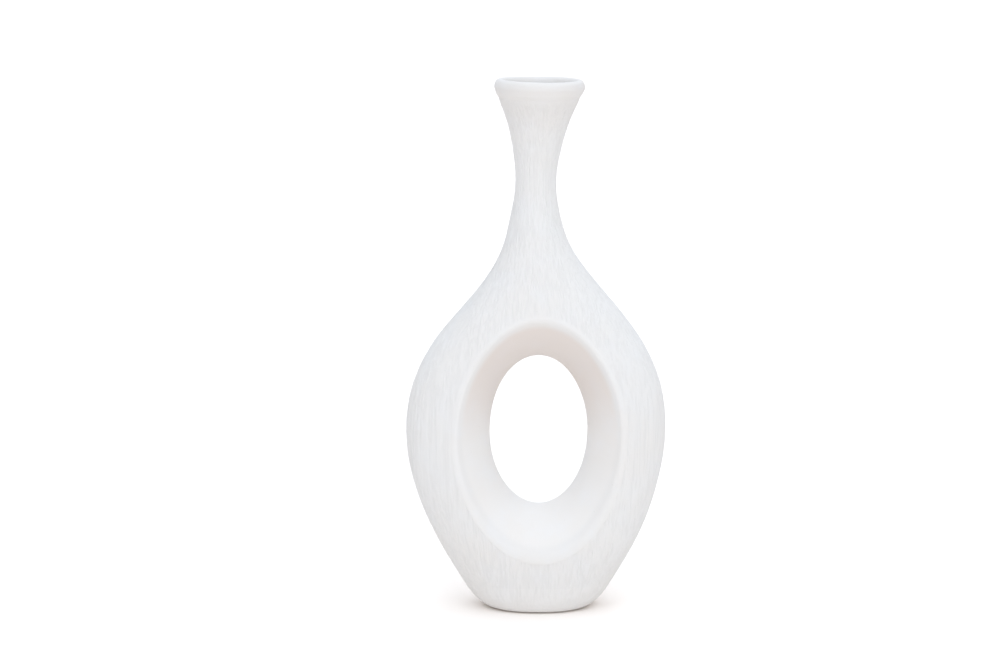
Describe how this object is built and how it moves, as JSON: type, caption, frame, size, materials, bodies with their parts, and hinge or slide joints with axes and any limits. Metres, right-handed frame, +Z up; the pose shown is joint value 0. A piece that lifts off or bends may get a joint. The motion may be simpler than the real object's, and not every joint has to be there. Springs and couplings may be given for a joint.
{
  "type": "bud vase",
  "caption": "Tall white ceramic bud vase with a flared slim neck, a flattened oval body with an oval opening right through it, and a small flat foot on felt pads.",
  "frame": {"origin": "under the middle of the vase, on the surface it stands on", "axes": "+Z up along the neck; the openwork front faces -Y; X runs across the wide side of the body"},
  "size_m": [0.1466, 0.0596, 0.3],
  "materials": {
    "combed_clay": "matt white, combed with fine upright lines; glazed on the inside",
    "smooth_clay": "matt white, sponged smooth",
    "foot_clay": "matt white, bare and slightly rough underneath",
    "felt": "pressed wool felt"
  },
  "bodies": {
    "root": {"lip_ring": "smooth_clay", "neck": "combed_clay", "front_shell": "combed_clay", "back_shell": "combed_clay", "tunnel_ring": "smooth_clay", "base": "foot_clay", "foot_pad_front_left": "felt", "foot_pad_front_right": "felt", "foot_pad_back_left": "felt", "foot_pad_back_right": "felt"}
  },
  "joints": []
}
